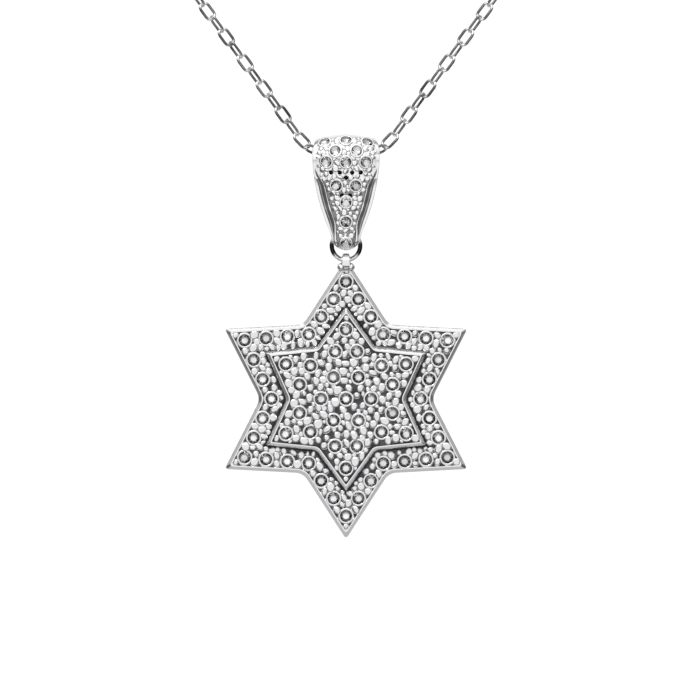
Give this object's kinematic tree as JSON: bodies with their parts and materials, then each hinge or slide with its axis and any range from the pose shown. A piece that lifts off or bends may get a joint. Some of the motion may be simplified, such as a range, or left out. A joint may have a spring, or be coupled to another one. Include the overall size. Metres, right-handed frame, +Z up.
{
  "type": "star of david pendant necklace",
  "caption": "Stone-set star pendant in two raised tiers on a tapered stone-set bail and jump ring, hanging from a fine cable chain with a plain round clasp.",
  "frame": {"origin": "the back of the neck: the middle of the inner face of the clasp, which lies against the nape", "axes": "+Z up, -Y towards the wearer's front, which is also the way the pendant faces, +X to the right as seen from the front"},
  "size_m": [0.11, 0.1095, 0.1706],
  "materials": {
    "chain_metal": "polished white metal links",
    "bail_metal": "polished white metal with raised grains between the stones",
    "ring_metal": "polished white metal wire",
    "star_metal": "polished white metal with raised grains between the stones",
    "clear_stone": "clear, round brilliant cut, very glossy"
  },
  "bodies": {
    "necklace": {"chain": "chain_metal", "clasp": "chain_metal"},
    "bail": {"bail": "bail_metal", "bail_stones": "clear_stone"},
    "jump_ring": {"jump_ring": "ring_metal"},
    "star": {"star_setting": "star_metal", "outer_stones": "clear_stone", "inner_stones": "clear_stone"}
  },
  "joints": [
    {"name": "bail_swing", "type": "hinge", "parent": "necklace", "child": "bail", "pos_m": [0, -0.106, -0.1345], "axis": [1, 0, 0], "range_deg": [-90, 90]},
    {"name": "ring_swing", "type": "hinge", "parent": "bail", "child": "jump_ring", "pos_m": [0, -0.106, -0.14099], "axis": [1, 0, 0], "range_deg": [-20, 20]},
    {"name": "star_swing", "type": "hinge", "parent": "jump_ring", "child": "star", "pos_m": [0, -0.106, -0.14349], "axis": [1, 0, 0], "range_deg": [-60, 60]}
  ]
}
